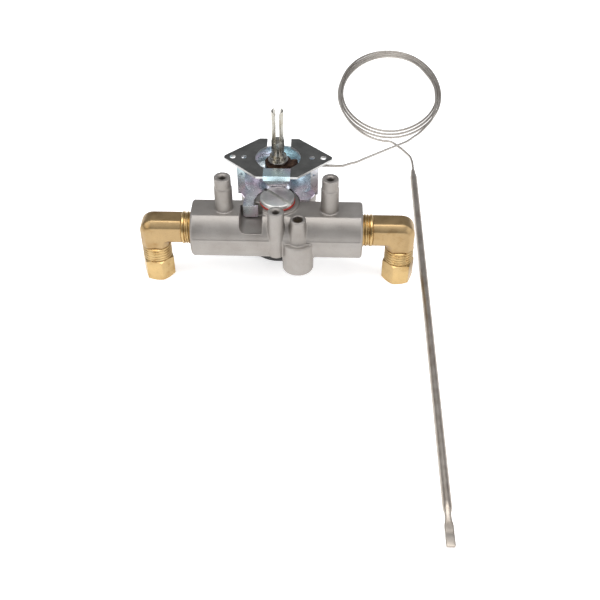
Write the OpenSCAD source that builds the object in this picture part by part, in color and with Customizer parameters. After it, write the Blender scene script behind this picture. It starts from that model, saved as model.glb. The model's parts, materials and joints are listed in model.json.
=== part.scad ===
// Thermostatic gas valve: a die-cast body between two brass compression elbows,
// a plated bonnet with a slotted dial shaft, and a capillary with a sensing bulb.
// X runs along the body, Y points to the rear, Z is up. Sizes are in millimetres.

/* [Body] */
// Length of the body tube between its two ports
body_len = 103.7; // [96:0.1:130]
// Radius of the body tube
body_r = 17.1; // [16:0.1:19]
// Height of the body tube's axis above the table
axis_z = 36.4; // [35.5:0.1:42]
// Half of the width of the flat on top of the tube
flat_half = 7.7; // [5:0.1:9]
// Radius of the gas passages
passage_r = 6; // [4.5:0.1:6.4]
// Distance of each tapped post from the middle
post_x = 31.8; // [30:0.1:38]
// Radius of the posts
post_r = 5; // [4:0.1:5.4]
// Height of the tall posts above the flat
post_rise = 22.7; // [15:0.1:28]
// Radius of the tapped holes
tap_r = 2; // [1.2:0.05:2.3]
// Depth of the tapped holes
tap_depth = 12; // [6:1:13]

/* [Elbows and nuts] */
// Distance between the two tube axes
elbow_span = 151.5; // [148:0.5:180]
// Radius of the elbow's forged legs
elbow_r = 8.4; // [8.2:0.1:9.5]
// Radius of the pipe thread in the body
pipe_r = 10; // [9:0.05:10.8]
// Length of pipe thread inside the body
pipe_engage = 13; // [9:0.5:15]
// Outside radius of the connected tube (7/16 in)
tube_r = 5.56; // [4.7:0.01:5.8]
// Radius of the compression thread (5/8-24)
nut_thread_r = 7.94; // [7.6:0.01:8.2]
// Across flats of the compression nut (11/16 in)
nut_af = 17.46; // [17.2:0.01:20]
// Height of the compression nut
nut_h = 15; // [13:0.1:18]
// Thread left bare between nut and elbow
bare_thread = 10; // [5:0.5:11]

/* [Dial shaft and bonnet] */
// Distance of the shaft behind the body axis
shaft_y = 24; // [23:0.5:29]
// Radius of the dial shaft's slotted end
shaft_r = 3.6; // [2.9:0.05:3.8]
// Height of the shaft's tip
shaft_top = 105.5; // [95:0.5:115]
// Width of the slot in the shaft
shaft_slot_w = 2.2; // [1.4:0.1:2.6]
// Depth of the slot in the shaft
shaft_slot_h = 21; // [10:0.5:24]
// Outside radius of the bonnet
bonnet_r = 24.5; // [24:0.1:27]
// Height of the bonnet's top above the flat of the body
bonnet_h = 15.3; // [14:0.1:19]
// Thickness of the bonnet sheet
sheet_t = 1.2; // [0.8:0.1:1.5]

/* [Bracket plate] */
// Distance between the plate's two tips
plate_w = 65.4; // [60:0.2:76]
// Depth of the plate from front to rear
plate_d = 41; // [38:0.5:46]
// Length of the plate's straight front and rear edges
plate_flat = 24.6; // [20:0.2:30]
// How far the plate's middle lies in front of the shaft
plate_shift = 1.1; // [0:0.1:2.4]
// Thickness of the plate
plate_t = 1.5; // [1:0.1:2]
// Radius of the round opening in the plate
plate_hole_r = 13.7; // [12.5:0.1:14.5]
// Spacing of the outer pair of holes
outer_spacing = 55; // [50:0.2:57]
// Spacing of the inner pair of holes
inner_spacing = 41.2; // [38:0.2:43]
// Radius of the plate's four small holes
plate_tap_r = 1.8; // [1.2:0.1:2]

/* [Plug, bypass and caps] */
// Distance of the slotted plug behind the body axis
plug_y = 5.6; // [4.5:0.1:6]
// Radius of the plug's head
plug_r = 10.4; // [9:0.1:11]
// Sideways place of the bypass screw
bypass_x = 13; // [12:0.5:20]
// Distance of the bypass screw in front of the body axis
bypass_y = 13; // [12.5:0.5:15]
// Radius of the bypass screw's bore
bypass_bore_r = 3; // [2.8:0.1:4]
// Radius of the cylinder below the bypass screw
lobe_r = 9.5; // [8:0.1:10]
// Radius of the round cap under the valve chamber
cap_r = 19.4; // [18:0.1:21]

/* [Capillary and bulb] */
// Diameter of the capillary
capillary_d = 1.6; // [1.2:0.1:2]
// Half of the length of the coil's outermost turn
coil_long = 72.6; // [60:0.2:80]
// Half of the width of the coil's outermost turn
coil_short = 42; // [36:0.2:50]
// Diameter of the sensing bulb (3/16 in)
bulb_d = 4.76; // [4:0.01:6.4]
// Length of the sensing bulb, with its flattened tip
bulb_len = 311; // [250:1:330]

/* [Hidden] */
$fn = 64;
eps = 0.01;
fit = 0.05;          // radial clearance of a running fit
gap = 0.3;           // space between pieces that move past each other

flat_z = axis_z + sqrt(body_r * body_r - flat_half * flat_half);
end_x = body_len / 2;
elbow_x = elbow_span / 2;
leg_z = nut_h + bare_thread;              // lower face of the elbow's forging
nut_ac = nut_af / cos(30);
nut_turn = 10;                            // how far each nut is turned from square
nut_floor = 3;                            // wall under the nut's thread
ferrule_h = 5;
collar_ring_r = elbow_r + 0.6;            // ringed collar between the nut and the forging
tube_stop = 20;                           // how deep the connected tube goes in

ring_wire = 0.6;                          // radius of the seal ring's section
ring_off = 0.18;                          // the ring sits a little to the front and right
boss_r = plug_r + 3;
boss_z = flat_z + 1.4;
plug_thread_r = plug_r - 1.2;
plug_head_z = boss_z + 2 * ring_wire + 0.02;  // underside of the plug's head
plug_top = plug_head_z + 2.6;
plug_floor = flat_z - 5.7;

post_top = flat_z + post_rise;
post_base_z = post_top - 7;               // where the thicker cast base ends
front_post_y = bypass_y + 0.5;
front_post_top = flat_z + 8.3;

lobe_top = axis_z + 1.8;
lobe_bottom = axis_z - 18.7;
bypass_boss_r = bypass_bore_r + 1.8;
bypass_boss_top = flat_z + 2.5;

deck_r = bonnet_r - 1;                    // flange of the casting under the bonnet
chamber_bottom = 10;
chamber_r = cap_r - 4.4;
seat_z = axis_z - 6.4;                    // underside of the valve seat
seat_t = 3;
seat_r = 6;
stem_r = 2;
facing_t = 1.2;
facing_r = 8.4;
disc_r = 9;
disc_t = 1.6;
disc_top = seat_z - 0.2 - facing_t;
disc_bottom = disc_top - disc_t;
cap_z = 5.5;                              // underside of the cap
gasket_t = 0.5;
spigot_top = chamber_bottom + 3.5;
cap_screw_r = 1.5;
cap_screw_ring = chamber_r + 2.2;         // radius of the circle of cap screws

bonnet_z = flat_z;
bonnet_top = flat_z + bonnet_h;
pan_r = bonnet_r;                         // rim of the pan, and outside of the legs
pan_round = 6.5;                          // rounding between floor and walls
neck_r = 8.4;
leg_front = 9;                            // legs' reach in front of the shaft, and behind it
leg_rear = 7;
leg_flange = 4.6;
ear_ring = bonnet_r + 3;                  // radius of the circle of bonnet screws
ear_r = 4;
ear_angles = [45, 90, 135];
bonnet_screw_r = 1.6;
shank_r = shaft_r + 0.3;                  // the solid stretch between the collar and the slot
journal_r = shaft_r + 0.7;                // the stretch that runs in the bushing
bush_r = journal_r + 1.5;
bush_flange_r = bush_r + 1;
bush_bottom = bonnet_top - 3.2;
bush_top = bonnet_top + 1;
stop_z = bush_top + gap;
stop_t = 1.3;
stop_r = 8;
collar_r = journal_r + 0.8;
collar_top = stop_z + stop_t + 4.6;
clip_z = stop_z + stop_t + 1.6;
clip_t = 0.6;
clip_r = collar_r + 1;
slot_z = shaft_top - shaft_slot_h;        // bottom of the shaft's slot
shaft_bottom = bush_bottom - 0.5;
element_top = shaft_bottom - gap;
element_r = neck_r - sheet_t - 0.5;
element_t = 4;
element_boss_r = 4;
element_boss_z = flat_z + 2.2;

plate_z = bonnet_top + 4.8;
plate_top = plate_z + plate_t;
plate_y = shaft_y - plate_shift;
plate_front = plate_y - plate_d / 2;
plate_slot_w = 14.7;
tongue_t = 0.9;

bypass_r = bypass_bore_r - fit;
bypass_top = flat_z - 5;
bypass_bottom = lobe_bottom + 6;
o_ring_z = axis_z + 3;
o_ring_wire = 0.9;

gland_x = pan_r - 5.5;                    // the gland goes through the right leg, along X
gland_end = pan_r + 0.5;
gland_y = shaft_y + 2.5;
gland_r = 1.7;
gland_z = bonnet_top - gland_r;

base_shift = -(shaft_y + ear_ring + ear_r - bypass_y - lobe_r) / 2;

// Route of the capillary from the gland to the coil, and from the coil to the bulb.
lead_points = [[25, 26.5, 65.3], [28, 26.5, 65.3], [32, 27, 65], [36, 29, 63.5], [40, 33, 61],
    [44, 41, 57], [49, 52, 51], [55, 68, 43], [62, 86, 34], [69, 104, 25], [76, 122, 16],
    [82, 137, 8.5], [87, 147, 4], [92, 153, 2.5], [97, 159, 2.5], [102, 165, 2.5], [107, 173, 2.5]];
tail_points = [[78, 155, 0.8], [81, 153, 0.8], [84, 149, 0.8], [87, 145, 0.8], [90, 140, 0.8],
    [93, 134, 0.8], [94, 127, 1], [94, 121, 1.5], [94, 117, 2], [93.6, 113.8, 2.4]];
coil_centre = [81.75, 227.9];
coil_tilt = -4;
coil_side_spread = 4.8;                   // how far the turns spread at the oval's sides
coil_near_spread = 14.8;                  // at the end near the valve
coil_far_spread = 10.4;                   // and at its far end
coil_h = 3.6;
coil_sides = 48;
bulb_start = [93.6, 114.4];
bulb_angle = 179.6;                       // direction in which the bulb points, from +Y
ferrule_len = 5;
crimp_len = 24;
crimp_w = 5.6;
crimp_t = 1.9;

// ---------- sweeping a round wire along points ----------
function unit(v) = v / norm(v);
function tangent(p, i) = unit(p[min(i + 1, len(p) - 1)] - p[max(i - 1, 0)]);
function between(a, b, c, d, t) = 0.5 * (2 * b + (c - a) * t + (2 * a - 5 * b + 4 * c - d) * t * t
    + (3 * b - a - 3 * c + d) * t * t * t);
function smooth(p, n) = concat([for (i = [0 : len(p) - 2], k = [0 : n - 1])
    between(p[max(i - 1, 0)], p[i], p[i + 1], p[min(i + 2, len(p) - 1)], k / n)], [p[len(p) - 1]]);
function ring(c, t, r, n) = let (s = unit(cross(t, [0, 0, 1])), u = cross(s, t))
    [for (k = [0 : n - 1]) c + r * (cos(360 * k / n) * s + sin(360 * k / n) * u)];

module wire(p, r, n) {
    last = (len(p) - 1) * n;
    points = [for (i = [0 : len(p) - 1]) each ring(p[i], tangent(p, i), r, n)];
    sides = [for (i = [0 : len(p) - 2], k = [0 : n - 1], half = [0, 1])
        let (a = i * n + k, b = i * n + (k + 1) % n)
        half == 0 ? [a, b + n, a + n] : [a, b, b + n]];
    start = [for (k = [n - 1 : -1 : 0]) k];
    finish = [for (k = [0 : n - 1]) last + k];
    polyhedron(points = points, faces = concat(sides, [start, finish]));
}

// ---------- shared shapes ----------
module along_x(x0, x1, r) translate([x0, 0, 0]) rotate([0, 90, 0]) cylinder(h = x1 - x0, r = r);
module upright(x, y, z0, z1, r) translate([x, y, z0]) cylinder(h = z1 - z0, r = r);
module at_axis() translate([0, 0, axis_z]) children();
module both_sides() for (side = [0, 1]) mirror([side, 0, 0]) children();
module place() translate([0, base_shift, 0]) children();
module turned(x, y, profile) translate([x, y, 0]) rotate_extrude() polygon(profile);

// A run of thread ridges around Z, drawn as plain rings.
module ridges(z0, z1, r, depth, pitch) {
    count = floor((z1 - z0) / pitch);
    rise = (z1 - z0) / count;
    rotate_extrude() polygon(concat([[0, z0]],
        [for (i = [0 : count - 1], top = [0, 1])
            top == 0 ? [r - depth, z0 + i * rise] : [r, z0 + (i + 0.5) * rise]],
        [[r - depth, z1], [0, z1]]));
}

// ---------- casting ----------
module body_outside() {
    difference() {
        at_axis() rotate([0, 90, 0]) rotate_extrude() polygon([[0, -end_x], [body_r - 1, -end_x],
            [body_r, 1 - end_x], [body_r, end_x - 1], [body_r - 1, end_x], [0, end_x]]);
        translate([-end_x - 1, -body_r, flat_z]) cube([body_len + 2, 2 * body_r, body_r]);
    }
    both_sides() turned(post_x, 0, [[0, axis_z + 8], [post_r + 0.4, axis_z + 8],
        [post_r + 0.4, post_base_z], [post_r, post_base_z], [post_r, post_top], [0, post_top]]);
    upright(0, -front_post_y, axis_z - 8.4, front_post_top, post_r);
    upright(0, plug_y, axis_z, boss_z, boss_r);
    turned(bypass_x, -bypass_y, [[0, lobe_bottom], [lobe_r, lobe_bottom], [lobe_r, lobe_top],
        [bypass_boss_r + 1.5, lobe_top], [bypass_boss_r, flat_z - 1.5], [bypass_boss_r, bypass_boss_top],
        [0, bypass_boss_top]]);
    turned(0, shaft_y, [[0, chamber_bottom], [cap_r, chamber_bottom], [cap_r, flat_z - 14],
        [deck_r, flat_z - 9], [deck_r, flat_z], [0, flat_z]]);
    for (a = ear_angles)
        translate([0, shaft_y, 0]) rotate(a) {
            upright(ear_ring, 0, flat_z - 9, flat_z, ear_r);
            translate([deck_r - 4, 0.2 - ear_r, flat_z - 9])
                cube([ear_ring - deck_r + 4, 2 * ear_r - 0.4, 9]);
        }
}

// The rough cast pocket in front of the bonnet, on the left
module pocket() {
    round_r = 4;
    translate([0, 4, flat_z - 8]) rotate([90, 0, 0]) linear_extrude(height = body_r + 2)
        union() {
            translate([-22 + round_r, round_r]) circle(r = round_r);
            translate([-22 + round_r, 0]) square([13.4 - round_r, 20]);
            translate([-22, round_r]) square([13.4, 20]);
        }
}

module passages() at_axis() both_sides() {
    along_x(end_x - pipe_engage - 2, end_x + 1, pipe_r + fit);
    along_x(2.5, end_x, passage_r);
}

module tapped(x, y, top) turned(x, y, [[0, top - tap_depth], [tap_r, top - tap_depth],
    [tap_r, top - 0.9], [tap_r + 1.05, top + 0.2], [0, top + 0.2]]);

module screw_bores() {
    both_sides() tapped(post_x, 0, post_top);
    tapped(0, -front_post_y, front_post_top);
    for (a = [45 : 90 : 315])
        translate([0, shaft_y, 0]) rotate(a) upright(cap_screw_ring, 0, chamber_bottom - 1,
            chamber_bottom + 7, cap_screw_r);
    for (a = ear_angles)
        translate([0, shaft_y, 0]) rotate(a) upright(ear_ring, 0, flat_z - 8, flat_z + 1, bonnet_screw_r);
}

// Bore of the slotted plug and bypass bore, each with a drilling to the passages
module plug_bores() {
    upright(0, plug_y, plug_floor, boss_z + 1, plug_thread_r + fit);
    upright(6, plug_y - 1.6, axis_z, plug_floor + 1, 2.5);
    upright(bypass_x, -bypass_y, bypass_bottom - 1, bypass_boss_top + 1, bypass_bore_r);
    translate([bypass_x, -bypass_y, axis_z]) rotate([-90, 0, 0]) cylinder(h = bypass_y, r = 1.5);
}

// Valve chamber: outlet side below the seat, inlet side above it
module chamber() {
    turned(0, shaft_y, [[0, chamber_bottom - 1], [chamber_r, chamber_bottom - 1], [chamber_r, seat_z],
        [seat_r, seat_z], [seat_r, seat_z + seat_t], [11.5, seat_z + seat_t], [11.5, seat_z + seat_t + 8],
        [stem_r + fit, seat_z + seat_t + 8], [stem_r + fit, flat_z + 1], [0, flat_z + 1]]);
    translate([8, 0.3, axis_z]) rotate([-90, 0, 0]) cylinder(h = shaft_y - 4, r = 3.6);
    upright(-9, 2, seat_z - 4.5, axis_z, 3);
    translate([-9, 2, seat_z - 4.5]) rotate([-90, 0, 0]) cylinder(h = shaft_y - 10, r = 3);
}

module valve_body() color([0.62, 0.62, 0.60]) difference() {
    body_outside();
    passages();
    pocket();
    screw_bores();
    plug_bores();
    chamber();
}

// ---------- elbows, nuts and ferrules ----------
module elbow() difference() {
    union() {
        // pipe thread and its bare end
        at_axis() translate([end_x, 0, 0]) rotate([0, 90, 0]) {
            translate([0, 0, -pipe_engage]) cylinder(h = pipe_engage, r = pipe_r);
            ridges(0, 4.4, pipe_r, 0.5, 1.1);
            translate([0, 0, 4.4 - eps]) cylinder(h = 2.2, r = pipe_r - 0.5);
        }
        // level leg, corner and upright leg
        at_axis() along_x(end_x + 6, elbow_x, elbow_r);
        translate([elbow_x, 0, axis_z]) sphere(r = elbow_r + 0.5);
        upright(elbow_x, 0, leg_z, axis_z, elbow_r - 0.1);
        translate([elbow_x, 0, 0]) ridges(nut_floor + ferrule_h + 0.5, nut_h + 1, nut_thread_r, 0.45, 1.06);
        translate([elbow_x, 0, 0]) ridges(nut_h + gap, leg_z + 0.4, collar_ring_r, 0.5, 1.7);
    }
    at_axis() along_x(end_x - pipe_engage - 1, elbow_x, passage_r);
    translate([elbow_x, 0, axis_z]) sphere(r = passage_r);
    upright(elbow_x, 0, nut_floor + ferrule_h, axis_z, passage_r - 0.8);
    upright(elbow_x, 0, 0, tube_stop, tube_r + fit);
}

module nut() translate([elbow_x, 0, 0]) rotate(nut_turn) difference() {
    intersection() {
        cylinder(h = nut_h, r = nut_ac / 2, $fn = 6);
        rotate_extrude() polygon([[0, 0], [nut_af / 2 - 0.4, 0], [nut_ac / 2 + 0.1, 1.2],
            [nut_ac / 2 + 0.1, nut_h - 1.2], [nut_af / 2 - 0.4, nut_h], [0, nut_h]]);
    }
    translate([0, 0, -1]) cylinder(h = nut_floor + 2, r = tube_r + fit);
    translate([0, 0, nut_floor]) cylinder(h = nut_h, r = nut_thread_r + fit);
}

module ferrule() translate([elbow_x, 0, nut_floor + gap]) rotate_extrude()
    polygon([[tube_r + fit, 0], [tube_r + 1.5, 0], [tube_r + 1.9, 1.4], [tube_r + 1.9, ferrule_h - 2],
        [tube_r + 0.7, ferrule_h - gap - 0.2], [tube_r + fit, ferrule_h - gap - 0.2]]);

module inlet_elbow() color([0.80, 0.62, 0.26]) elbow();
module outlet_elbow() color([0.80, 0.62, 0.26]) mirror([1, 0, 0]) elbow();
module inlet_nut() color([0.82, 0.63, 0.25]) nut();
module outlet_nut() color([0.82, 0.63, 0.25]) mirror([1, 0, 0]) nut();
module inlet_ferrule() color([0.78, 0.60, 0.28]) ferrule();
module outlet_ferrule() color([0.78, 0.60, 0.28]) mirror([1, 0, 0]) ferrule();

// ---------- plug ----------
module seat_plug() color([0.70, 0.69, 0.67]) difference() {
    union() {
        translate([0, plug_y, 0]) ridges(plug_floor + 0.5, plug_head_z, plug_thread_r, 0.4, 1);
        turned(0, plug_y, [[0, plug_head_z - 0.3], [plug_thread_r - 0.4, plug_head_z - 0.3],
            [plug_thread_r - 0.4, plug_head_z], [plug_r, plug_head_z], [plug_r, plug_top - 0.6],
            [plug_r - 0.6, plug_top], [0, plug_top]]);
    }
    translate([0, plug_y, plug_top - 2]) rotate(-43)
        translate([-plug_r - 1, -1.3, 0]) cube([2 * plug_r + 2, 2.6, 3]);
}

module plug_seal_ring() color([0.72, 0.10, 0.08]) translate([ring_off, plug_y - ring_off, boss_z
    + ring_wire]) rotate_extrude() translate([plug_thread_r + fit + ring_wire + 1.45 * ring_off, 0])
    circle(r = ring_wire);

// ---------- valve works ----------
module valve_disc() color([0.78, 0.62, 0.30]) {
    upright(0, shaft_y, disc_bottom, disc_top, disc_r);
    upright(0, shaft_y, disc_bottom - 3, disc_bottom + eps, 2.9);
}

module disc_facing() color([0.10, 0.10, 0.10]) difference() {
    upright(0, shaft_y, disc_top, disc_top + facing_t, facing_r);
    upright(0, shaft_y, disc_top - 1, disc_top + facing_t + 1, stem_r + fit);
}

module valve_spring() color([0.72, 0.72, 0.72]) {
    wire_r = 0.55;
    coil_r = 4.8;
    turns = 6;
    steps = 16;
    z0 = spigot_top + wire_r + 0.05;
    z1 = disc_bottom - wire_r - 0.05;
    wire([for (i = [0 : turns * steps]) [coil_r * cos(360 * i / steps),
        shaft_y + coil_r * sin(360 * i / steps), z0 + (z1 - z0) * i / (turns * steps)]], wire_r, 6);
}

module push_stem() color([0.75, 0.74, 0.72])
    upright(0, shaft_y, disc_top, element_boss_z, stem_r);

// Sealed capsule with ring corrugations on both faces
module power_element() color([0.70, 0.66, 0.58]) {
    wave = [for (i = [0 : 24]) [element_r - 0.4 * i, 0.35 * cos(i * 90)]];
    z1 = element_top - 0.8;
    z0 = z1 - element_t;
    translate([0, shaft_y, 0]) rotate_extrude() polygon(concat([[0, z0], [element_r - 1, z0],
        [element_r, z0 + 1], [element_r, z1 - 1]], [for (w = wave) if (w[0] > 3.4 && w[0] < element_r - 0.6)
        [w[0], z1 + w[1] - 0.35]], [[3, z1 - 0.35], [3, element_top], [0, element_top]]));
    upright(0, shaft_y, element_boss_z, z0 + eps, element_boss_r);
}

module bottom_cap() color([0.07, 0.07, 0.07]) difference() {
    union() {
        translate([0, shaft_y, 0]) rotate_extrude() polygon([[0, cap_z], [cap_r - 1, cap_z],
            [cap_r, cap_z + 1], [cap_r, chamber_bottom - gasket_t], [0, chamber_bottom - gasket_t]]);
        upright(0, shaft_y, chamber_bottom - 1, spigot_top, chamber_r - fit);
    }
    for (a = [45 : 90 : 315])
        translate([0, shaft_y, 0]) rotate(a) upright(cap_screw_ring, 0, cap_z - 1, chamber_bottom + 1,
            cap_screw_r + 0.15);
    translate([0, shaft_y, 0]) for (a = [45 : 90 : 315])
        rotate(a) upright(cap_screw_ring, 0, cap_z - 1, cap_z + 1.6, cap_screw_r + 1.2);
}

module cap_gasket() color([0.25, 0.22, 0.20]) difference() {
    upright(0, shaft_y, chamber_bottom - gasket_t, chamber_bottom, cap_r);
    upright(0, shaft_y, chamber_bottom - 1, chamber_bottom + 1, chamber_r);
    for (a = [45 : 90 : 315])
        translate([0, shaft_y, 0]) rotate(a) upright(cap_screw_ring, 0, chamber_bottom - 1,
            chamber_bottom + 1, cap_screw_r + 0.15);
}

module cap_screws() color([0.66, 0.66, 0.66]) translate([0, shaft_y, 0]) for (a = [45 : 90 : 315])
    rotate(a) {
        upright(cap_screw_ring, 0, cap_z + 1.6 - eps, chamber_bottom + 6, cap_screw_r);
        difference() {
            upright(cap_screw_ring, 0, cap_z + 0.2, cap_z + 1.6, cap_screw_r + 1);
            translate([cap_screw_ring - 3, -0.4, cap_z]) cube([6, 0.8, 0.9]);
        }
    }

// ---------- bonnet and bracket ----------
// Section of the pan: a neck round the shaft, a rounded floor and an upright rim
module pan_section(t) {
    inner = neck_r - t;
    floor_top = bonnet_z + sheet_t;
    rim = pan_r - t;
    polygon(concat([[inner, bonnet_z], [pan_r, bonnet_z], [pan_r, bonnet_top - 2], [rim, bonnet_top - 2]],
        [for (a = [0 : 10 : 90]) [rim - pan_round + pan_round * cos(a),
            floor_top + pan_round - pan_round * sin(a)]],
        [for (a = [90 : -10 : 0]) [neck_r + pan_round - pan_round * cos(a),
            floor_top + pan_round - pan_round * sin(a)]],
        [[neck_r, bonnet_top], [bush_r + fit, bonnet_top], [bush_r + fit, bonnet_top - t],
        [inner, bonnet_top - t]]));
}

module bonnet() color([0.62, 0.64, 0.72]) {
    bonnet_pan();
    // tab that hooks down into the body's pocket
    translate([-20.5, 0.7, bonnet_z]) cube([20.5 - boss_r - 0.8, flat_half - 0.4, sheet_t]);
    translate([-20.5, 0.7, bonnet_z - 7]) cube([9, sheet_t, 7 + sheet_t]);
}

module bonnet_pan() difference() {
    union() {
        translate([0, shaft_y, 0]) rotate_extrude() pan_section(sheet_t);
        both_sides() {
            translate([pan_r - sheet_t, shaft_y - leg_front, bonnet_z])
                cube([sheet_t, leg_front + leg_rear, plate_z - bonnet_z]);
            translate([pan_r - leg_flange, shaft_y - leg_front, bonnet_z])
                cube([leg_flange, sheet_t, plate_z - bonnet_z]);
        }
        for (a = ear_angles)
            translate([0, shaft_y, 0]) rotate(a) {
                upright(ear_ring, 0, bonnet_z, bonnet_z + sheet_t, ear_r);
                translate([pan_r - sheet_t / 2, -ear_r, bonnet_z])
                    cube([ear_ring - pan_r + sheet_t / 2, 2 * ear_r, sheet_t]);
            }
    }
    // clearance round the slotted plug
    upright(0, plug_y, bonnet_z - 1, boss_z + 2 * ring_wire + 0.4, boss_r + 0.5);
    upright(0, plug_y, bonnet_z - 1, plug_top + 0.5, plug_r + 0.6);
    // open front: the rim ends at the legs, the floor at the rear edge of the body's flat
    translate([-pan_r - 1, shaft_y - pan_r - 1, bonnet_z + sheet_t])
        cube([2 * pan_r + 2, pan_r + 1 - leg_front, bonnet_h + 8]);
    translate([-pan_r - 1, shaft_y - pan_r - 1, bonnet_z - 1])
        cube([2 * pan_r + 2, pan_r + 1 - shaft_y + flat_half + 0.2, 3]);
    for (a = ear_angles)
        translate([0, shaft_y, 0]) rotate(a) upright(ear_ring, 0, bonnet_z - 1, bonnet_z + 3,
            bonnet_screw_r + 0.15);
    both_sides() translate([pan_r - 2.6, shaft_y - leg_front - 1, bonnet_top - 1]) rotate([-90, 0, 0])
        cylinder(h = 4, r = 0.8);
    translate([pan_r - 3, gland_y, gland_z]) rotate([0, 90, 0]) cylinder(h = 4, r = gland_r + fit);
}

module bonnet_screws() color([0.66, 0.66, 0.66]) translate([0, shaft_y, 0]) for (a = ear_angles)
    rotate(a) {
        upright(ear_ring, 0, flat_z - 7, bonnet_z + sheet_t + eps, bonnet_screw_r);
        difference() {
            upright(ear_ring, 0, bonnet_z + sheet_t, bonnet_z + sheet_t + 2, bonnet_screw_r * 1.8);
            translate([ear_ring - 4, -0.4, bonnet_z + sheet_t + 1]) cube([8, 0.8, 2]);
        }
    }

module plate_outline() offset(r = 1.2) offset(delta = -1.2) polygon([
    [-plate_w / 2, plate_y - 1.2], [-plate_flat / 2, plate_front], [plate_flat / 2, plate_front],
    [plate_w / 2, plate_y - 1.2], [plate_w / 2, plate_y + 1.2],
    [plate_flat / 2, plate_front + plate_d], [-plate_flat / 2, plate_front + plate_d],
    [-plate_w / 2, plate_y + 1.2]]);

module bracket_plate() color([0.33, 0.33, 0.31]) difference() {
    translate([0, 0, plate_z]) linear_extrude(height = plate_t) plate_outline();
    upright(0, plate_y, plate_z - 1, plate_top + 1, plate_hole_r);
    translate([-plate_slot_w / 2, shaft_y, plate_z - 1]) cube([plate_slot_w, plate_d, plate_t + 2]);
    both_sides() {
        upright(outer_spacing / 2, plate_y, plate_z - 1, plate_top + 1, plate_tap_r);
        upright(inner_spacing / 2, plate_y, plate_z - 1, plate_top + 1, plate_tap_r);
    }
}

// A bent strip: its side view given as [y, z] points, its width at the top and at the bottom
module strip(side, half_top, half_low, z_low, z_high) intersection() {
    translate([-20, 0, 0]) rotate([90, 0, 90]) linear_extrude(height = 40) polygon(side);
    translate([0, 60, 0]) rotate([90, 0, 0]) linear_extrude(height = 80)
        polygon([[-half_low, z_low], [half_low, z_low], [half_top, z_high], [half_top, z_high + 6],
            [-half_top, z_high + 6], [-half_top, z_high]]);
}

function hook(y0, y1, z0) = [[y1, plate_top + tongue_t], [y0, plate_top + tongue_t],
    [y0, plate_z - 0.8], [y1 + 1, z0], [y1 + 2.2, z0 + 0.6], [y0 + tongue_t + 0.1, plate_z - 0.2],
    [y0 + tongue_t + 0.1, plate_top], [y1, plate_top]];

module front_tongue() color([0.66, 0.64, 0.76])
    strip(hook(plate_front - tongue_t - 0.15, plate_y - plate_hole_r + 0.6, bonnet_top - 6.5),
        8.1, 5.2, bonnet_top - 6.5, plate_z);

// ---------- shaft group ----------
module shaft_bushing() color([0.80, 0.64, 0.32]) difference() {
    union() {
        upright(0, shaft_y, bush_bottom, bonnet_top + eps, bush_r);
        upright(0, shaft_y, bonnet_top, bush_top, bush_flange_r);
    }
    upright(0, shaft_y, bush_bottom - 1, bush_top + 1, journal_r + fit);
}

module dial_shaft() color([0.74, 0.72, 0.68]) difference() {
    union() {
        turned(0, shaft_y, [[0, shaft_bottom], [journal_r - 0.5, shaft_bottom],
            [journal_r, shaft_bottom + 0.5], [journal_r, collar_top - 1], [shank_r, collar_top - 1],
            [shank_r, slot_z], [shaft_r, slot_z], [shaft_r, shaft_top - 0.8], [shaft_r - 0.8, shaft_top],
            [0, shaft_top]]);
        upright(0, shaft_y, stop_z + stop_t, collar_top, collar_r);
    }
    translate([-shaft_slot_w / 2, shaft_y - 10, slot_z])
        cube([shaft_slot_w, 20, shaft_slot_h + 1]);
    // the prongs' inner edges slope down to the slot
    translate([0, shaft_y + 10, shaft_top]) rotate([90, 0, 0]) linear_extrude(height = 20)
        polygon([[-2.9, 1], [-shaft_slot_w / 2, -3], [shaft_slot_w / 2, -3], [2.9, 1]]);
    difference() {
        upright(0, shaft_y, clip_z - fit, clip_z + clip_t + fit, collar_r + 1);
        upright(0, shaft_y, clip_z - 1, clip_z + clip_t + 1, journal_r);
    }
}

// Dark stop disc with a toothed sector on the right
module stop_disc() color([0.18, 0.12, 0.10]) difference() {
    union() {
        upright(0, shaft_y, stop_z, stop_z + stop_t, stop_r);
        translate([0, shaft_y, stop_z]) linear_extrude(height = stop_t) polygon(concat([[0, 0]],
            [for (i = [0 : 10]) let (a = -34 + 5 * i, r = i % 2 == 0 ? 10.4 : 12) [r * cos(a), r * sin(a)]]));
    }
    upright(0, shaft_y, stop_z - 1, stop_z + stop_t + 1, journal_r + 0.02);
}

module retaining_clip() color([0.60, 0.58, 0.54]) difference() {
    upright(0, shaft_y, clip_z, clip_z + clip_t, clip_r);
    upright(0, shaft_y, clip_z - 1, clip_z + clip_t + 1, journal_r + 0.02);
    translate([-2.2, shaft_y, clip_z - 1]) cube([4.4, clip_r + 1, clip_t + 2]);
}

// ---------- bypass ----------
module bypass_screw() color([0.78, 0.62, 0.30]) difference() {
    upright(bypass_x, -bypass_y, bypass_bottom, bypass_top, bypass_r);
    translate([bypass_x - 5, -bypass_y - 0.5, bypass_top - 1.4]) cube([10, 1, 2]);
    translate([bypass_x, -bypass_y, o_ring_z]) rotate_extrude()
        translate([bypass_bore_r - o_ring_wire, 0]) circle(r = o_ring_wire + 0.02);
}

module bypass_o_ring() color([0.08, 0.08, 0.08]) translate([bypass_x, -bypass_y, o_ring_z])
    rotate_extrude() translate([bypass_bore_r - o_ring_wire - 0.03, 0]) circle(r = o_ring_wire - 0.01);

// ---------- capillary and bulb ----------
module capillary_gland() color([0.72, 0.70, 0.66]) translate([0, gland_y, gland_z])
    rotate([0, 90, 0]) translate([0, 0, gland_x]) rotate_extrude() polygon([[0, 0], [gland_r, 0],
        [gland_r, gland_end - gland_x - 2], [1.1, gland_end - gland_x], [0, gland_end - gland_x]]);

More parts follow.
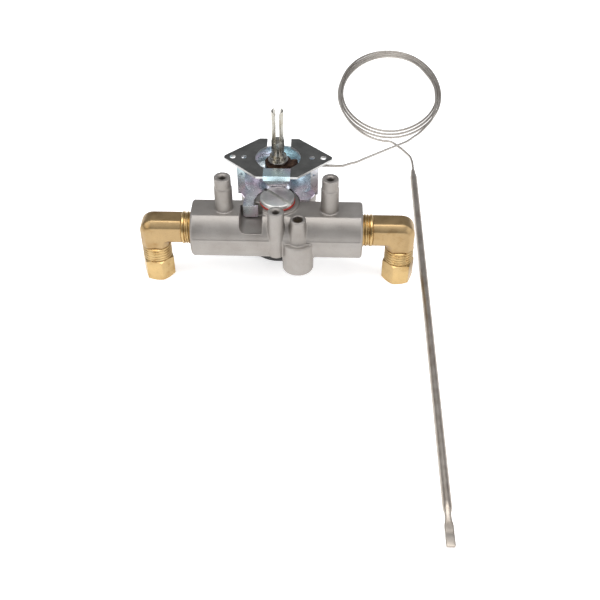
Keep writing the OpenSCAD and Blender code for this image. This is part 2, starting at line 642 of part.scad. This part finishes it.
module capillary_lead() color([0.74, 0.70, 0.64]) wire(smooth(lead_points, 3), capillary_d / 2, 8);
module capillary_tail() color([0.74, 0.70, 0.64]) wire(smooth(tail_points, 2), capillary_d / 2, 8);

function oval(half_w, half_l) = [for (i = [0 : coil_sides - 1]) let (a = 360 * i / coil_sides)
    [half_w * cos(a), half_l * sin(a)]];

module capillary_coil() color([0.74, 0.70, 0.64]) translate([coil_centre[0], coil_centre[1], 0])
    rotate(coil_tilt) linear_extrude(height = coil_h) difference() {
        polygon(oval(coil_short + capillary_d / 2, coil_long + capillary_d / 2));
        translate([0, (coil_near_spread - coil_far_spread) / 2])
            polygon(oval(coil_short - coil_side_spread, coil_long - (coil_near_spread + coil_far_spread) / 2));
    }

module sensing_bulb() color([0.52, 0.50, 0.46])
    translate([bulb_start[0], bulb_start[1], bulb_d / 2]) rotate(bulb_angle) rotate([-90, 0, 0]) {
        r = bulb_d / 2;
        rotate_extrude() polygon([[0, 0], [1.3, 0], [1.3, 1.5], [1.7, 1.8], [1.7, ferrule_len],
            [r, ferrule_len + 2], [r, bulb_len - crimp_len], [r - 0.8, bulb_len - crimp_len + 3], [0, bulb_len
            - crimp_len + 3]]);
        translate([-1.9, -crimp_t / 2, bulb_len - crimp_len]) cube([3.8, crimp_t, 12]);
        translate([-crimp_w / 2, -crimp_t / 2, bulb_len - 14]) cube([crimp_w, crimp_t, 14]);
    }

place() valve_body();
place() inlet_elbow();
place() outlet_elbow();
place() inlet_nut();
place() outlet_nut();
place() inlet_ferrule();
place() outlet_ferrule();
place() seat_plug();
place() plug_seal_ring();
place() valve_disc();
place() disc_facing();
place() valve_spring();
place() push_stem();
place() power_element();
place() bottom_cap();
place() cap_gasket();
place() cap_screws();
place() bonnet();
place() bonnet_screws();
place() front_tongue();
place() bracket_plate();
place() shaft_bushing();
place() dial_shaft();
place() stop_disc();
place() retaining_clip();
place() bypass_screw();
place() bypass_o_ring();
place() capillary_gland();
place() capillary_lead();
place() capillary_coil();
place() capillary_tail();
place() sensing_bulb();
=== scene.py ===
import json
import math

import bmesh
import bpy
from mathutils import Matrix, Vector


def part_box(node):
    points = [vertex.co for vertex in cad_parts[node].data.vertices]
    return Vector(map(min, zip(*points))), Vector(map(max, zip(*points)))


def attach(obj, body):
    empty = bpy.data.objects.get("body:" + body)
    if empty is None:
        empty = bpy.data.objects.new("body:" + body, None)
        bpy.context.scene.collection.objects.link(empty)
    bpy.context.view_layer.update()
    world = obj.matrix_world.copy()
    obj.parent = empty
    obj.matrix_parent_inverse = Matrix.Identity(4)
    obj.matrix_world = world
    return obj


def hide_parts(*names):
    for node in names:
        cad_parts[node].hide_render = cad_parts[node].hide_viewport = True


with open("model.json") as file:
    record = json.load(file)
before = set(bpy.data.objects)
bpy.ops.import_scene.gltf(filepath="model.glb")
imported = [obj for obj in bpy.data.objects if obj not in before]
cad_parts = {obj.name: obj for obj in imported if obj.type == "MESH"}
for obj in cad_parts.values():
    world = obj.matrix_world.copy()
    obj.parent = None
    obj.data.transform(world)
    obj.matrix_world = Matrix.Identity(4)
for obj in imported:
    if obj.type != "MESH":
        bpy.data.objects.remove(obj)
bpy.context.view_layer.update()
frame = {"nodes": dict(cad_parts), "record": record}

MM = 0.001
VALVE = "valve"


# ---------- places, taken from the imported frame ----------
def middle(node):
    low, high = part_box(node)
    return (Vector(low) + Vector(high)) / 2


def reach(node):
    low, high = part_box(node)
    return Vector(low), Vector(high)


AXIS_Y = middle("inlet_nut").y                     # the body tube's axis
AXIS_RISE = 26.4 * MM                              # from the casting's lowest face to that axis
AXIS_Z = reach("valve_body")[0].z + AXIS_RISE
END_X = reach("valve_body")[1].x
ELBOW_X = middle("inlet_nut").x
COLLAR_ROOM = 10 * MM                              # between a nut and its elbow's forging
LEG_Z = reach("inlet_nut")[1].z + COLLAR_ROOM      # lower face of the forging


# ---------- materials ----------
class Shader:
    """A Principled material with its nodes made by short calls."""

    def __init__(self, name):
        self.mat = bpy.data.materials.new(name)
        self.mat.use_nodes = True
        self.tree = self.mat.node_tree
        self.main = next(n for n in self.tree.nodes if n.type == "BSDF_PRINCIPLED")
        self.where = self.node("ShaderNodeTexCoord").outputs["Object"]

    def node(self, kind, **values):
        made = self.tree.nodes.new(kind)
        for key, value in values.items():
            setattr(made, key, value)
        return made

    def link(self, a, b):
        self.tree.links.new(a, b)

    def fixed(self, **values):
        for key, value in values.items():
            self.main.inputs[key.replace("_", " ")].default_value = value

    def noise(self, size, detail=3.0, rough=0.55, stretch=None):
        """Noise whose features are about size metres across."""
        made = self.node("ShaderNodeTexNoise")
        made.inputs["Scale"].default_value = 1 / size
        made.inputs["Detail"].default_value = detail
        made.inputs["Roughness"].default_value = rough
        if stretch:
            mapping = self.node("ShaderNodeMapping")
            mapping.inputs["Scale"].default_value = stretch
            self.link(self.where, mapping.inputs["Vector"])
            self.link(mapping.outputs["Vector"], made.inputs["Vector"])
        else:
            self.link(self.where, made.inputs["Vector"])
        return made.outputs["Fac"]

    def ramp(self, value, stops):
        made = self.node("ShaderNodeValToRGB")
        line = made.color_ramp
        while len(line.elements) < len(stops):
            line.elements.new(0.5)
        for element, (place, colour) in zip(line.elements, stops):
            element.position = place
            element.color = (*colour, 1)
        self.link(value, made.inputs["Fac"])
        return made.outputs["Color"]

    def span(self, value, low, high, start=0.3, end=0.7):
        made = self.node("ShaderNodeMapRange")
        made.inputs["From Min"].default_value = start
        made.inputs["From Max"].default_value = end
        made.inputs["To Min"].default_value = low
        made.inputs["To Max"].default_value = high
        self.link(value, made.inputs["Value"])
        return made.outputs["Result"]

    def mix(self, factor, a, b, blend="MIX"):
        made = self.node("ShaderNodeMix", data_type="RGBA", blend_type=blend)
        for source, socket in ((factor, made.inputs[0]), (a, made.inputs[6]), (b, made.inputs[7])):
            if isinstance(source, bpy.types.NodeSocket):
                self.link(source, socket)
            else:
                socket.default_value = source if isinstance(source, float) else (*source, 1)
        return made.outputs[2]

    def colour(self, socket):
        self.link(socket, self.main.inputs["Base Color"])

    def roughness(self, socket):
        self.link(socket, self.main.inputs["Roughness"])

    def surface(self, *layers, edge=0.0):
        """Bump from (height socket, strength, depth in metres) layers, over edges rounded by edge metres."""
        normal = None
        if edge:
            bevel = self.node("ShaderNodeBevel", samples=4)
            bevel.inputs["Radius"].default_value = edge
            normal = bevel.outputs["Normal"]
        for height, strength, depth in layers:
            bump = self.node("ShaderNodeBump")
            bump.inputs["Strength"].default_value = strength
            bump.inputs["Distance"].default_value = depth
            self.link(height, bump.inputs["Height"])
            if normal:
                self.link(normal, bump.inputs["Normal"])
            normal = bump.outputs["Normal"]
        if normal:
            self.link(normal, self.main.inputs["Normal"])


def cast_aluminium():
    s = Shader("cast_aluminium")
    s.fixed(Metallic=0.9)
    cloud = s.noise(14 * MM, 5)
    fine = s.noise(0.5 * MM, 4, 0.7)
    base = s.ramp(cloud, [(0.3, (0.305, 0.280, 0.256)), (0.55, (0.365, 0.340, 0.315)),
                          (0.75, (0.405, 0.380, 0.358))])
    speck = s.ramp(s.noise(0.9 * MM, 2, 0.8), [(0.26, (0.55, 0.52, 0.50)), (0.40, (1, 1, 1))])
    s.colour(s.mix(0.35, base, speck, "MULTIPLY"))
    s.roughness(s.span(cloud, 0.46, 0.56))
    s.surface((s.noise(3.2 * MM, 3), 0.25, 0.12 * MM), (fine, 0.30, 0.035 * MM), edge=0.35 * MM)
    return s.mat


def brass(name, tone, rough, grain):
    s = Shader(name)
    s.fixed(Metallic=1.0)
    cloud = s.noise(7 * MM, 4)
    light = tuple(c * 1.12 for c in tone)
    dark = (tone[0] * 0.78, tone[1] * 0.68, tone[2] * 0.55)
    base = s.ramp(cloud, [(0.28, dark), (0.48, tone), (0.72, light)])
    speck = s.ramp(s.noise(0.8 * MM, 3, 0.7), [(0.30, (0.62, 0.50, 0.38)), (0.44, (1, 1, 1))])
    s.colour(s.mix(0.45, base, speck, "MULTIPLY"))
    s.roughness(s.span(cloud, rough - 0.05, rough + 0.08))
    s.surface((s.noise(grain, 3, 0.6), 0.30, 0.05 * MM), (s.noise(2.4 * MM, 2), 0.18, 0.1 * MM),
              edge=0.3 * MM)
    return s.mat


def zinc_plate():
    """Bright zinc with the blue, lavender and pink film of a passivated coat."""
    s = Shader("zinc_plate")
    s.fixed(Metallic=1.0)
    film = s.noise(26 * MM, 1.5, 0.4)
    base = s.ramp(film, [(0.26, (0.50, 0.68, 0.75)), (0.40, (0.62, 0.78, 0.82)), (0.50, (0.66, 0.72, 0.80)),
                         (0.57, (0.78, 0.68, 0.76)), (0.66, (0.74, 0.77, 0.80)), (0.78, (0.54, 0.72, 0.77))])
    haze = s.ramp(s.noise(4 * MM, 2), [(0.3, (0.90, 0.90, 0.90)), (0.6, (1, 1, 1))])
    s.colour(s.mix(0.3, base, haze, "MULTIPLY"))
    s.roughness(s.span(s.noise(5 * MM, 3), 0.20, 0.34))
    s.surface((s.noise(0.35 * MM, 2), 0.08, 0.02 * MM), (s.noise(9 * MM, 2), 0.12, 0.2 * MM), edge=0.25 * MM)
    return s.mat


def dark_plate():
    s = Shader("dark_satin_plate")
    s.fixed(Metallic=0.9)
    brushed = s.noise(0.5 * MM, 4, 0.6, stretch=(0.35, 1.0, 1.0))
    base = s.ramp(s.noise(9 * MM, 3), [(0.35, (0.140, 0.140, 0.132)), (0.65, (0.185, 0.185, 0.176))])
    shaped = s.ramp(brushed, [(0.3, (0.78, 0.78, 0.78)), (0.6, (1, 1, 1))])
    top = s.mix(0.6, base, shaped, "MULTIPLY")
    # faces that do not point up are painted light grey (0.66): a painted highlight on the plate's edges and
    # sides, while upward faces keep the dark plate colour
    facing = s.node("ShaderNodeSeparateXYZ")
    s.link(s.node("ShaderNodeNewGeometry").outputs["True Normal"], facing.inputs["Vector"])
    top_vs_edge_highlight = s.span(facing.outputs["Z"], 0.0, 1.0, 0.5, 0.8)
    s.colour(s.mix(top_vs_edge_highlight, (0.66, 0.66, 0.65), top))
    s.roughness(s.span(s.noise(4 * MM, 3), 0.36, 0.48))
    s.surface((brushed, 0.18, 0.02 * MM), edge=0.2 * MM)
    return s.mat


def turned_steel(name, tone, rough, rings=(1.0, 1.0, 0.12), warm=None):
    s = Shader(name)
    s.fixed(Metallic=1.0)
    lines = s.noise(0.25 * MM, 2, 0.5, stretch=(rings[0], rings[1], rings[2]))
    cloud = s.noise(6 * MM, 4)
    low = tuple(c * 0.82 for c in tone)
    base = s.ramp(cloud, [(0.32, warm or low), (0.62, tone)])
    s.colour(s.mix(0.25, base, s.ramp(lines, [(0.3, (0.7, 0.7, 0.7)), (0.6, (1, 1, 1))]), "MULTIPLY"))
    s.roughness(s.span(cloud, rough, rough + 0.1))
    s.surface((lines, 0.10, 0.015 * MM), edge=0.15 * MM)
    return s.mat


def soft_material(name, tone, rough, grain=0.6 * MM):
    s = Shader(name)
    base = s.ramp(s.noise(4 * MM, 4), [(0.35, tuple(c * 0.7 for c in tone)), (0.65, tone)])
    s.colour(base)
    s.roughness(s.span(s.noise(2 * MM, 3), rough - 0.06, rough + 0.08))
    s.surface((s.noise(grain, 3), 0.2, 0.03 * MM), edge=0.2 * MM)
    return s.mat


def browned_steel():
    s = Shader("browned_steel")
    s.fixed(Metallic=0.75)
    base = s.ramp(s.noise(2.6 * MM, 5, 0.65), [(0.30, (0.020, 0.010, 0.007)), (0.52, (0.060, 0.030, 0.018)),
                                               (0.72, (0.15, 0.085, 0.05))])
    s.colour(base)
    s.roughness(s.span(s.noise(1.2 * MM, 3), 0.34, 0.55))
    s.surface((s.noise(0.6 * MM, 3), 0.25, 0.05 * MM), edge=0.15 * MM)
    return s.mat


CAST = cast_aluminium()
FORGED = brass("forged_brass", (0.42, 0.295, 0.15), 0.40, 0.7 * MM)
CUT_BRASS = brass("machined_brass", (0.53, 0.375, 0.175), 0.30, 0.4 * MM)
ZINC = zinc_plate()
PLATE = dark_plate()
STEEL = turned_steel("turned_steel", (0.55, 0.545, 0.525), 0.24)
SHAFT = turned_steel("shaft_steel", (0.50, 0.49, 0.45), 0.20, warm=(0.38, 0.345, 0.27))
WIRE = turned_steel("capillary_steel", (0.52, 0.49, 0.45), 0.50, rings=(1, 1, 1), warm=(0.45, 0.41, 0.37))
BULB = turned_steel("bulb_steel", (0.50, 0.455, 0.405), 0.36, rings=(1, 0.05, 1), warm=(0.40, 0.345, 0.29))
PLUG = turned_steel("plug_steel", (0.80, 0.79, 0.76), 0.42, rings=(1, 1, 1))
BROWN = browned_steel()
SEAL = soft_material("red_seal", (0.48, 0.035, 0.022), 0.48)
BLACK = soft_material("black_rubber", (0.018, 0.017, 0.017), 0.45)

FINISHES = {
    "casting": CAST, "brass_forging": FORGED, "brass_nut": CUT_BRASS, "plug_steel": PLUG, "seal_red": SEAL,
    "black_rubber": BLACK, "bright_steel": STEEL, "black_cap": BLACK, "gasket_fibre": BLACK,
    "zinc_plate": ZINC, "dark_plate": PLATE, "shaft_steel": SHAFT, "stop_brown": BROWN,
    "capillary_steel": WIRE, "bulb_steel": BULB}


def dress_nodes():
    """Every carried-over node takes its material from its record slot, with smooth curved faces."""
    slots = {row["node"]: row["material_slot"] for row in frame["record"]["subparts"]}
    for name, obj in frame["nodes"].items():
        obj.data.materials.clear()
        obj.data.materials.append(FINISHES[slots[name]])
        smooth(obj, 32)


def smooth(obj, angle):
    """Smooth shading, with edges sharper than angle degrees kept."""
    for face in obj.data.polygons:
        face.use_smooth = True
    obj.data.set_sharp_from_angle(angle=math.radians(angle))


# ---------- mesh helpers ----------
def piece(name, bm, material, body=VALVE, angle=35, bevel=0.0):
    bmesh.ops.recalc_face_normals(bm, faces=bm.faces)
    mesh = bpy.data.meshes.new(name)
    bm.to_mesh(mesh)
    bm.free()
    return dressed(name, mesh, material, body, angle, bevel)


def dressed(name, mesh, material, body, angle, bevel):
    obj = bpy.data.objects.new(name, mesh)
    bpy.context.scene.collection.objects.link(obj)
    mesh.materials.clear()
    mesh.materials.append(material)
    if bevel:
        made = obj.modifiers.new("edges", "BEVEL")
        made.width = bevel
        made.segments = 3
        made.limit_method = "ANGLE"
        made.angle_limit = math.radians(28)
        made.harden_normals = False
        apply_all(obj)
    smooth(obj, angle)
    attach(obj, body)
    return obj


def apply_all(obj):
    """Replaces the mesh by what its modifiers make of it."""
    seen = bpy.context.evaluated_depsgraph_get()
    made = bpy.data.meshes.new_from_object(obj.evaluated_get(seen))
    obj.modifiers.clear()
    obj.data = made


def rings_to_mesh(rings, closed_ends=True):
    """A tube through rings of points, each ring a list of the same length."""
    bm = bmesh.new()
    rows = [[bm.verts.new(p) for p in ring] for ring in rings]
    count = len(rows[0])
    for a, b in zip(rows, rows[1:]):
        for i in range(count):
            j = (i + 1) % count
            bm.faces.new((a[i], a[j], b[j], b[i]))
    if closed_ends:
        bm.faces.new(list(reversed(rows[0])))
        bm.faces.new(rows[-1])
    return bm


def thread_rings(radius, depth, pitch, start, end, turn, around=56):
    """Rings of one helical thread between start and end, along the local Z of the matrix turn."""
    steps = max(8, round((end - start) / pitch * 8))
    rings = []
    for i in range(steps + 1):
        z = start + (end - start) * i / steps
        fade = min(1.0, 1.6 * i / 8, 1.6 * (steps - i) / 8)
        ring = []
        for k in range(around):
            phase = (z / pitch - k / around) % 1.0
            ridge = 1 - abs(2 * phase - 1)
            r = radius - depth * (1 - fade * min(1.0, 1.25 * ridge))
            a = 2 * math.pi * k / around
            ring.append(turn @ Vector((r * math.cos(a), r * math.sin(a), z)))
        rings.append(ring)
    return rings


# ---------- camera first, then the capillary ----------
CAMERA_LENS = 52.8
CAMERA_X = 25.8 * MM
CAMERA_BACK = 424.6 * MM                           # from the body's axis
CAMERA_Z = 373.6 * MM
CAMERA_ELEVATION = 43.05
CAMERA_YAW = 1.6


def add_camera():
    data = bpy.data.cameras.new("camera")
    data.sensor_width = 36
    data.lens = CAMERA_LENS
    data.clip_end = 50
    camera = bpy.data.objects.new("camera", data)
    bpy.context.scene.collection.objects.link(camera)
    camera.location = (CAMERA_X, AXIS_Y - CAMERA_BACK, CAMERA_Z)
    camera.rotation_euler = (math.radians(90 - CAMERA_ELEVATION), 0, math.radians(CAMERA_YAW))
    bpy.context.scene.camera = camera


# the capillary from the gland to the coil, and from the coil to the bulb, in millimetres
LEAD_POINTS = [(25, 26.5, 65.3), (28, 26.5, 65.3), (32, 27, 65), (36, 29, 63.5), (40, 33, 61),
               (44, 41, 57), (49, 52, 51), (55, 68, 43), (62, 86, 34), (69, 104, 25), (76, 122, 16),
               (82, 137, 8.5), (87, 147, 4), (92, 153, 2.5), (97, 159, 2.5), (102, 165, 2.5),
               (107, 173, 2.5)]
TAIL_POINTS = [(78, 155, 0.8), (81, 153, 0.8), (84, 149, 0.8), (87, 145, 0.8), (90, 140, 0.8),
               (93, 134, 0.8), (94, 127, 1), (94, 121, 1.5), (94, 117, 2), (93.6, 113.8, 2.4)]
COIL_CENTRE = (81.75, 227.9)
COIL_LONG = 72.6                                   # half-length of the outermost turn
COIL_SHORT = 42                                    # and its half-width
COIL_TILT = -4
# angle round the coil, distance inside the outermost turn, height of the tube's centre
COIL_LIE = [(-44, 0, 2.5), (0, 4, 2.4), (40, 6.4, 0.8), (90, 9.6, 0.8), (180, 3.2, 0.8), (270, 14, 0.8),
            (360, 3.2, 0.8), (450, 6.4, 0.8), (540, 1.6, 0.8), (630, 9.5, 0.8), (720, 1.6, 0.8),
            (810, 3.2, 0.8), (900, 0, 0.8), (990, 5, 0.8), (1080, 0, 0.8), (1170, 0, 0.8),
            (1230, 0.5, 2.4), (1260, 0.8, 2.3), (1290, 0.6, 2.4), (1352, -0.3, 0.8)]
COIL_STEP = 7                                      # degrees between two points of a turn
WIRE_D = 1.6
BULB_START = (93.6, 114.4, 2.38)
BULB_ANGLE = 179.6                                 # where the bulb points, turned from +Y
BULB_R = 2.38
CRIMP_START = 289                                  # distance along the bulb
CRIMP_SLOPE = 9                                    # length over which it sinks to its flat
CRIMP_HALF = 0.95


def coil_points():
    """Four turns of an oval that close up at its sides and spread at its ends."""
    tilt = Matrix.Rotation(math.radians(COIL_TILT), 2)
    made = []
    first, last = COIL_LIE[0][0], COIL_LIE[-1][0]
    count = round((last - first) / COIL_STEP)
    for i in range(1, count):
        angle = first + (last - first) * i / count
        before, after = next((p, q) for p, q in zip(COIL_LIE, COIL_LIE[1:]) if angle <= q[0])
        t = (angle - before[0]) / (after[0] - before[0])
        t = t * t * (3 - 2 * t)
        inside = before[1] + (after[1] - before[1]) * t
        height = before[2] + (after[2] - before[2]) * t
        a = math.radians(angle)
        flat = tilt @ Vector(((COIL_SHORT - inside) * math.cos(a), (COIL_LONG - inside) * math.sin(a)))
        made.append((COIL_CENTRE[0] + flat.x, COIL_CENTRE[1] + flat.y, height))
    return made


def rounded(points, steps):
    """Points along a smooth curve through the given ones."""
    made = []
    for i in range(len(points) - 1):
        a, b, c, d = (Vector(points[max(0, min(len(points) - 1, i + k))]) for k in (-1, 0, 1, 2))
        for k in range(steps):
            t = k / steps
            made.append(0.5 * (2 * b + (c - a) * t + (2 * a - 5 * b + 4 * c - d) * t * t
                               + (3 * b - a - 3 * c + d) * t ** 3))
    made.append(Vector(points[-1]))
    return made


def bulb_place(along):
    """A point on the bulb's axis, along millimetres from the tip of its ferrule."""
    a = math.radians(BULB_ANGLE)
    return Vector((BULB_START[0] - along * math.sin(a), BULB_START[1] + along * math.cos(a), BULB_START[2]))


def capillary():
    """One tube from the gland to the bulb, and on inside the bulb to where it is crimped."""
    inside = [tuple(bulb_place(along)) for along in range(15, 286, 30)]
    route = rounded(LEAD_POINTS + coil_points() + TAIL_POINTS + inside, 4)
    shift = Vector((0, AXIS_Y, 0))
    path = [p * MM + shift for p in route]
    data = bpy.data.curves.new("capillary", "CURVE")
    data.dimensions = "3D"
    line = data.splines.new("POLY")
    line.points.add(len(path) - 1)
    for point, place in zip(line.points, path):
        point.co = (*place, 1)
    line.use_smooth = True
    data.bevel_depth = WIRE_D / 2 * MM
    data.bevel_resolution = 5
    data.use_fill_caps = True
    data.materials.append(WIRE)
    obj = bpy.data.objects.new("capillary", data)
    bpy.context.scene.collection.objects.link(obj)
    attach(obj, VALVE)
    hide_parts("capillary_lead", "capillary_coil", "capillary_tail")
    length = sum((b - a).length for a, b in zip(path, path[1:]))
    return obj, length


def sensing_bulb():
    """Drawn tube with a stepped ferrule, crimped flat at its far end."""
    start = Vector(BULB_START)
    turn = Matrix.Rotation(math.radians(BULB_ANGLE), 4, "Z")
    # distance along the bulb, half-width, half-height
    shape = [(0, 1.15, 1.15), (0.3, 1.32, 1.32), (1.6, 1.36, 1.36), (1.9, 1.62, 1.62), (2.3, 1.72, 1.72),
             (5.2, 1.74, 1.74), (6.4, 1.95, 1.95), (7.8, 2.28, 2.28), (9.2, 2.38, 2.38), (60, 2.38, 2.38),
             (150, 2.38, 2.38), (240, 2.38, 2.38), (287, 2.38, 2.38), (289.5, 2.34, 2.3), (291, 2.12, 1.9),
             (292.5, 1.72, 1.45), (295, 1.62, 1.2), (297, 1.75, 1.05), (298.5, 2.15, 0.98),
             (300, 2.32, 0.95), (303, 2.3, 0.93), (304, 2.24, 0.80), (305, 2.3, 0.93), (310.3, 2.3, 0.92),
             (311, 2.15, 0.75)]
    rings = []
    around = 32
    for along, wide, high in shape:
        flat = min(1.0, max(0.0, (wide / high - 1) / 1.2))
        power = 2 / (2 + 3.5 * flat)
        drop = -(BULB_R - CRIMP_HALF) * 0.55 * min(1.0, max(0.0, (along - CRIMP_START) / CRIMP_SLOPE))
        ring = []
        for k in range(around):
            a = 2 * math.pi * k / around
            c, s = math.cos(a), math.sin(a)
            x = wide * math.copysign(abs(c) ** power, c)
            z = high * math.copysign(abs(s) ** power, s)
            ring.append((start + turn @ Vector((x, along, z + drop))) * MM + Vector((0, AXIS_Y, 0)))
        rings.append(ring)
    obj = piece("bulb_tube", rings_to_mesh(rings), BULB, angle=50)
    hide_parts("sensing_bulb")
    return obj


# ---------- casting ----------
BODY_R = 17.1 * MM
PARTING_LIFT = 11                                  # degrees that the parting line sits above the axis


def casting():
    """The die casting with its corners filled and rounded, and its parting line."""
    source = frame["nodes"]["valve_body"]
    bm = bmesh.new()
    bm.from_mesh(source.data)
    low_x, high_x = reach("valve_body")[0].x, reach("valve_body")[1].x
    lift = math.radians(PARTING_LIFT)
    centre = Vector((0, AXIS_Y - BODY_R * math.cos(lift), AXIS_Z + BODY_R * math.sin(lift)))
    size = Matrix.Diagonal((high_x - low_x - 3 * MM, 0.5 * MM, 0.5 * MM, 1))
    bmesh.ops.create_cube(bm, size=1, matrix=Matrix.Translation(centre) @ size)
    mesh = bpy.data.meshes.new("casting")
    bm.to_mesh(mesh)
    bm.free()
    obj = bpy.data.objects.new("casting", mesh)
    bpy.context.scene.collection.objects.link(obj)
    remesh = obj.modifiers.new("remesh", "REMESH")
    remesh.mode = "VOXEL"
    remesh.voxel_size = 0.42 * MM
    soften = obj.modifiers.new("soften", "SMOOTH")
    soften.factor = 0.5
    soften.iterations = 3
    thin = obj.modifiers.new("thin", "DECIMATE")
    thin.ratio = 0.35
    apply_all(obj)
    obj.data.materials.clear()
    obj.data.materials.append(CAST)
    for face in obj.data.polygons:
        face.use_smooth = True
    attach(obj, VALVE)
    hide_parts("valve_body")


# ---------- brass elbows ----------
FORGING_HALF = 8.3 * MM
FORGING_GAP = 6.2 * MM                             # from the body's end to the forging
FLAT_HALF = 4.9 * MM                               # half-width of the forging's flat side
SIDE_INSET = 3.4 * MM
OUTER_BEND = 8 * MM
INNER_BEND = 1.2 * MM
RING_PITCH = 1.9                                   # of the ringed collar, in millimetres
RING_COUNT = 5


def elbow_outline(inset, half, start, bend_out, bend_in):
    """The forging's side outline in X and Z, drawn in by inset except at its two ends."""
    steps = 8
    out_r = max(bend_out - inset, 0.6 * MM)
    in_r = bend_in + inset
    h = half - inset
    points = [(start, h)]
    for i in range(steps + 1):
        a = math.pi / 2 * (1 - i / steps)
        points.append((ELBOW_X + h - out_r + out_r * math.cos(a), h - out_r + out_r * math.sin(a)))
    points.append((ELBOW_X + h, LEG_Z - AXIS_Z))
    points.append((ELBOW_X - h, LEG_Z - AXIS_Z))
    for i in range(steps + 1):
        a = math.pi / 2 * i / steps
        points.append((ELBOW_X - h - in_r + in_r * math.cos(a), -h - in_r + in_r * math.sin(a)))
    points.append((start, -h))
    return points


def elbow(side, name, node):
    """One elbow: its forging, its two threads, and the turned collars beside them."""
    half = FORGING_HALF
    start = END_X + FORGING_GAP
    bm = bmesh.new()
    rows = []
    for y, inset in ((-half, SIDE_INSET), (-FLAT_HALF, 0), (FLAT_HALF, 0), (half, SIDE_INSET)):
        outline = elbow_outline(inset, half, start, OUTER_BEND, INNER_BEND)
        rows.append([bm.verts.new((side * x, AXIS_Y + y, AXIS_Z + z)) for x, z in outline])
    count = len(rows[0])
    for a, b in zip(rows, rows[1:]):
        for i in range(count):
            j = (i + 1) % count
            bm.faces.new((a[i], a[j], b[j], b[i]))
    bm.faces.new(rows[0])
    bm.faces.new(list(reversed(rows[-1])))
    forging = piece(name, bm, FORGED, angle=40, bevel=0.9 * MM)
    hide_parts(node)

    along = Matrix.Translation((side * END_X, AXIS_Y, AXIS_Z)) @ Matrix.Rotation(side * math.pi / 2, 4, "Y")
    thread = thread_rings(9.95 * MM, 0.75 * MM, 1.8 * MM, -6 * MM, 4.6 * MM, along)
    piece(name + "_pipe_thread", rings_to_mesh(thread), CUT_BRASS, angle=60)
    collar = [(4.3, 8.6), (4.5, 9.5), (4.9, 9.85), (6.0, 9.85), (6.4, 9.5), (6.9, 8.6), (7.4, 7.2)]
    piece(name + "_collar", lathe(collar, along), CUT_BRASS, angle=40)

    upright = Matrix.Translation((side * ELBOW_X, AXIS_Y, 0))
    low = reach(node)[0].z
    nut_top = reach("inlet_nut")[1].z
    thread = thread_rings(7.93 * MM, 0.55 * MM, 1.06 * MM, low, nut_top + 1.4 * MM, upright)
    piece(name + "_tube_thread", rings_to_mesh(thread), CUT_BRASS, angle=60)
    collar = [(nut_top / MM + 0.3, 7.4)]
    for ring in range(RING_COUNT):
        foot = nut_top / MM + 0.3 + RING_PITCH * ring
        collar += [(foot + 0.15, 8.5), (foot + 0.5, 8.98), (foot + 1.3, 8.98), (foot + 1.65, 8.5)]
    piece(name + "_ring_collar", lathe(collar + [(LEG_Z / MM + 0.2, 7.4)], upright), CUT_BRASS,
          angle=50)


def lathe(profile, turn, around=64):
    """A solid of revolution from (height, radius) pairs in millimetres, about the local Z of turn."""
    rings = []
    for height, radius in profile:
        rings.append([turn @ Vector((radius * MM * math.cos(2 * math.pi * k / around),
                                     radius * MM * math.sin(2 * math.pi * k / around), height * MM))
                      for k in range(around)])
    return rings_to_mesh(rings)


# ---------- surroundings ----------
def add_floor():
    bm = bmesh.new()
    bmesh.ops.create_grid(bm, x_segments=2, y_segments=2, size=12)
    mesh = bpy.data.meshes.new("floor")
    bm.to_mesh(mesh)
    bm.free()
    floor = bpy.data.objects.new("floor", mesh)
    bpy.context.scene.collection.objects.link(floor)
    s = Shader("floor_paper")
    s.fixed(Base_Color=(0.93, 0.93, 0.93, 1), Roughness=0.9, Emission_Color=(1, 1, 1, 1),
            Emission_Strength=0.62)
    mesh.materials.append(s.mat)


def area_light(name, place, aim, size, power):
    data = bpy.data.lights.new(name, "AREA")
    data.shape = "RECTANGLE"
    data.size, data.size_y = size
    data.energy = power
    light = bpy.data.objects.new(name, data)
    bpy.context.scene.collection.objects.link(light)
    light.location = place
    light.rotation_euler = (Vector(aim) - Vector(place)).to_track_quat("-Z", "Y").to_euler()


def add_lights():
    world = bpy.data.worlds.new("studio")
    bpy.context.scene.world = world
    world.use_nodes = True
    world.node_tree.nodes["Background"].inputs["Color"].default_value = (0.93, 0.95, 1.0, 1)
    world.node_tree.nodes["Background"].inputs["Strength"].default_value = 0.36
    aim = (0.02, 0.0, 0.03)
    area_light("overhead", (0.0, -0.15, 1.3), aim, (1.2, 0.8), 11)
    area_light("left", (-1.1, -0.6, 0.9), aim, (0.8, 1.0), 5.5)
    area_light("right", (1.2, -0.5, 0.7), aim, (0.7, 1.0), 4)
    bpy.context.scene.view_settings.view_transform = "Standard"


add_camera()
tube, tube_length = capillary()
bulb = sensing_bulb()
dress_nodes()
casting()
elbow(1, "inlet_forging", "inlet_elbow")
elbow(-1, "outlet_forging", "outlet_elbow")
add_floor()
add_lights()
